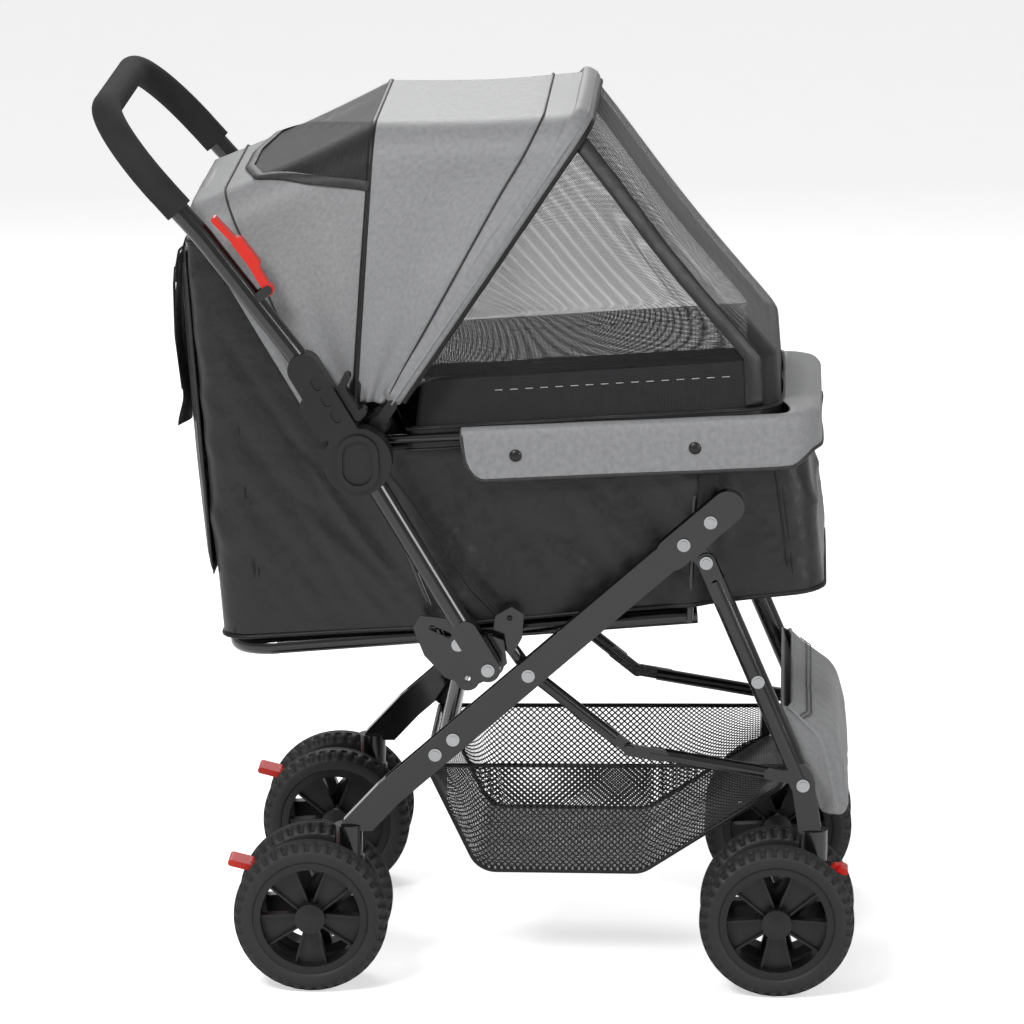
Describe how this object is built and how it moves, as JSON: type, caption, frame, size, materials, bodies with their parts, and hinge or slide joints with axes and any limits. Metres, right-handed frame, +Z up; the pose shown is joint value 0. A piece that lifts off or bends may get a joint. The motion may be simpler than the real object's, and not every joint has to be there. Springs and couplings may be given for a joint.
{
  "type": "pet stroller",
  "caption": "Folding tube-frame pet stroller with a netted cabin, reversible push handle, hinged canopy, basket and twin-wheel swivel casters.",
  "frame": {"origin": "centre of the bounding box at floor level, under the cabin", "axes": "+Z up, +X towards the front, +Y towards the stroller's own left"},
  "size_m": [0.8109, 0.4996, 0.9499],
  "materials": {
    "black_steel": "gloss",
    "black_plastic": "satin",
    "tyre_black": "matte",
    "foam": "matte",
    "red_plastic": "gloss",
    "bright_steel": "polished",
    "grey_cloth": "matte",
    "black_cloth": "matte",
    "net": "matte"
  },
  "bodies": {
    "chassis": {"rear_leg_left": "black_steel", "rear_leg_right": "black_steel", "rear_crossbar": "black_steel", "rear_stems": "bright_steel", "seat_base_tube": "black_steel", "pivot_bracket_left": "black_steel", "pivot_bracket_right": "black_steel", "rim_tube": "black_steel", "side_struts": "black_steel", "canopy_hubs": "black_plastic", "canopy_rear_bow": "black_plastic", "cabin_body": "black_cloth", "cabin_floor": "black_cloth", "canopy_cover": "grey_cloth", "mesh_window": "net", "basket": "net", "rivets_chassis": "bright_steel"},
    "front_legs": {"front_leg_left": "black_steel", "front_leg_right": "black_steel", "front_crossbar": "black_steel", "front_stems": "bright_steel", "front_pocket": "grey_cloth", "rivets_front": "bright_steel"},
    "handle": {"handle_tube": "black_steel", "handle_grip": "foam", "lock_housings": "black_plastic"},
    "canopy_front": {"canopy_front_bow": "black_plastic"},
    "canopy_mid": {"canopy_mid_bow": "black_plastic"},
    "strut_upper_left": {"upper_strut_left": "black_steel"},
    "strut_lower_left": {"lower_strut_left": "black_steel"},
    "lever_left": {"release_lever_left": "red_plastic"},
    "slider_left": {"lock_slider_left": "black_plastic"},
    "strut_upper_right": {"upper_strut_right": "black_steel"},
    "strut_lower_right": {"lower_strut_right": "black_steel"},
    "lever_right": {"release_lever_right": "red_plastic"},
    "slider_right": {"lock_slider_right": "black_plastic"},
    "caster_rl": {"caster_fork_rl": "black_plastic"},
    "lever_rl": {"pedal_rl": "red_plastic"},
    "wheel_rl_out": {"rim_rl_out": "black_plastic", "tyre_rl_out": "tyre_black"},
    "wheel_rl_in": {"rim_rl_in": "black_plastic", "tyre_rl_in": "tyre_black"},
    "caster_rr": {"caster_fork_rr": "black_plastic"},
    "lever_rr": {"pedal_rr": "red_plastic"},
    "wheel_rr_out": {"rim_rr_out": "black_plastic", "tyre_rr_out": "tyre_black"},
    "wheel_rr_in": {"rim_rr_in": "black_plastic", "tyre_rr_in": "tyre_black"},
    "caster_fl": {"caster_fork_fl": "black_plastic"},
    "lever_fl": {"pedal_fl": "red_plastic"},
    "wheel_fl_out": {"rim_fl_out": "black_plastic", "tyre_fl_out": "tyre_black"},
    "wheel_fl_in": {"rim_fl_in": "black_plastic", "tyre_fl_in": "tyre_black"},
    "caster_fr": {"caster_fork_fr": "black_plastic"},
    "lever_fr": {"pedal_fr": "red_plastic"},
    "wheel_fr_out": {"rim_fr_out": "black_plastic", "tyre_fr_out": "tyre_black"},
    "wheel_fr_in": {"rim_fr_in": "black_plastic", "tyre_fr_in": "tyre_black"}
  },
  "joints": [
    {"name": "leg_fold", "type": "hinge", "parent": "chassis", "child": "front_legs", "pos_m": [0.24534, 0, 0.46498], "axis": [0, 1, 0], "range_deg": [0, 30], "deforming": ["basket"]},
    {"name": "handle_swing", "type": "hinge", "parent": "chassis", "child": "handle", "pos_m": [0.0165, 0, 0.354], "axis": [0, 1, 0], "range_deg": [0, 65]},
    {"name": "canopy_front_hinge", "type": "hinge", "parent": "chassis", "child": "canopy_front", "pos_m": [-0.1005, 0, 0.61], "axis": [0, 1, 0], "range_deg": [-45, 0], "deforming": ["canopy_cover", "mesh_window"]},
    {"name": "canopy_mid_hinge", "type": "hinge", "parent": "chassis", "child": "canopy_mid", "pos_m": [-0.1255, 0, 0.627], "axis": [0, 1, 0], "range_deg": [-20.25, 0]},
    {"name": "upper_strut_pivot_left", "type": "hinge", "parent": "chassis", "child": "strut_upper_left", "pos_m": [0.0575, 0.176, 0.3393], "axis": [0, 1, 0], "range_deg": [0, 66]},
    {"name": "lower_strut_pivot_left", "type": "hinge", "parent": "front_legs", "child": "strut_lower_left", "pos_m": [0.3495, 0.178, 0.2235], "axis": [0, 1, 0], "range_deg": [-40.5, 0]},
    {"name": "release_lever_left_pivot", "type": "hinge", "parent": "handle", "child": "lever_left", "pos_m": [-0.21322, 0.222, 0.75834], "axis": [0, 1, 0], "range_deg": [-3, 0], "stiffness_Nm_per_rad": 2, "springref_deg": 3.44},
    {"name": "lock_slider_left_slide", "type": "slide", "parent": "handle", "child": "slider_left", "axis": [-0.5141, 0, 0.8577], "range_m": [0, 0.012], "stiffness_N_per_m": 300, "springref_m": -0.01},
    {"name": "upper_strut_pivot_right", "type": "hinge", "parent": "chassis", "child": "strut_upper_right", "pos_m": [0.0575, -0.176, 0.3393], "axis": [0, 1, 0], "range_deg": [0, 66]},
    {"name": "lower_strut_pivot_right", "type": "hinge", "parent": "front_legs", "child": "strut_lower_right", "pos_m": [0.3495, -0.178, 0.2235], "axis": [0, 1, 0], "range_deg": [-40.5, 0]},
    {"name": "release_lever_right_pivot", "type": "hinge", "parent": "handle", "child": "lever_right", "pos_m": [-0.21322, -0.222, 0.75834], "axis": [0, 1, 0], "range_deg": [-3, 0], "stiffness_Nm_per_rad": 2, "springref_deg": 3.44},
    {"name": "lock_slider_right_slide", "type": "slide", "parent": "handle", "child": "slider_right", "axis": [-0.5141, 0, 0.8577], "range_m": [0, 0.012], "stiffness_N_per_m": 300, "springref_m": -0.01},
    {"name": "swivel_rl", "type": "hinge", "parent": "chassis", "child": "caster_rl", "pos_m": [-0.1345, 0.191, 0.12], "axis": [0, 0, 1], "continuous": true},
    {"name": "brake_rl", "type": "hinge", "parent": "caster_rl", "child": "lever_rl", "pos_m": [-0.1935, 0.191, 0.0915], "axis": [0, 1, 0], "range_deg": [-14, 0]},
    {"name": "spin_rl_out", "type": "hinge", "parent": "caster_rl", "child": "wheel_rl_out", "pos_m": [-0.1725, 0.22975, 0.0825], "axis": [0, 1, 0], "continuous": true},
    {"name": "spin_rl_in", "type": "hinge", "parent": "caster_rl", "child": "wheel_rl_in", "pos_m": [-0.1725, 0.15225, 0.0825], "axis": [0, 1, 0], "continuous": true},
    {"name": "swivel_rr", "type": "hinge", "parent": "chassis", "child": "caster_rr", "pos_m": [-0.1345, -0.191, 0.12], "axis": [0, 0, 1], "continuous": true},
    {"name": "brake_rr", "type": "hinge", "parent": "caster_rr", "child": "lever_rr", "pos_m": [-0.1935, -0.191, 0.0915], "axis": [0, 1, 0], "range_deg": [-14, 0]},
    {"name": "spin_rr_out", "type": "hinge", "parent": "caster_rr", "child": "wheel_rr_out", "pos_m": [-0.1725, -0.22975, 0.0825], "axis": [0, 1, 0], "continuous": true},
    {"name": "spin_rr_in", "type": "hinge", "parent": "caster_rr", "child": "wheel_rr_in", "pos_m": [-0.1725, -0.15225, 0.0825], "axis": [0, 1, 0], "continuous": true},
    {"name": "swivel_fl", "type": "hinge", "parent": "front_legs", "child": "caster_fl", "pos_m": [0.361, 0.191, 0.12], "axis": [0, 0, 1], "continuous": true},
    {"name": "swivel_lock_fl", "type": "hinge", "parent": "caster_fl", "child": "lever_fl", "pos_m": [0.379, 0.191, 0.126], "axis": [0, 1, 0], "range_deg": [0, 14]},
    {"name": "spin_fl_out", "type": "hinge", "parent": "caster_fl", "child": "wheel_fl_out", "pos_m": [0.323, 0.22975, 0.0825], "axis": [0, 1, 0], "continuous": true},
    {"name": "spin_fl_in", "type": "hinge", "parent": "caster_fl", "child": "wheel_fl_in", "pos_m": [0.323, 0.15225, 0.0825], "axis": [0, 1, 0], "continuous": true},
    {"name": "swivel_fr", "type": "hinge", "parent": "front_legs", "child": "caster_fr", "pos_m": [0.361, -0.191, 0.12], "axis": [0, 0, 1], "continuous": true},
    {"name": "swivel_lock_fr", "type": "hinge", "parent": "caster_fr", "child": "lever_fr", "pos_m": [0.379, -0.191, 0.126], "axis": [0, 1, 0], "range_deg": [0, 14]},
    {"name": "spin_fr_out", "type": "hinge", "parent": "caster_fr", "child": "wheel_fr_out", "pos_m": [0.323, -0.22975, 0.0825], "axis": [0, 1, 0], "continuous": true},
    {"name": "spin_fr_in", "type": "hinge", "parent": "caster_fr", "child": "wheel_fr_in", "pos_m": [0.323, -0.15225, 0.0825], "axis": [0, 1, 0], "continuous": true}
  ],
  "couplings": [
    {"joint": "canopy_mid_hinge", "follows": "canopy_front_hinge", "ratio": 0.45},
    {"joint": "upper_strut_pivot_left", "follows": "leg_fold", "ratio": 2.2},
    {"joint": "lower_strut_pivot_left", "follows": "leg_fold", "ratio": -1.35},
    {"joint": "upper_strut_pivot_right", "follows": "leg_fold", "ratio": 2.2},
    {"joint": "lower_strut_pivot_right", "follows": "leg_fold", "ratio": -1.35}
  ]
}
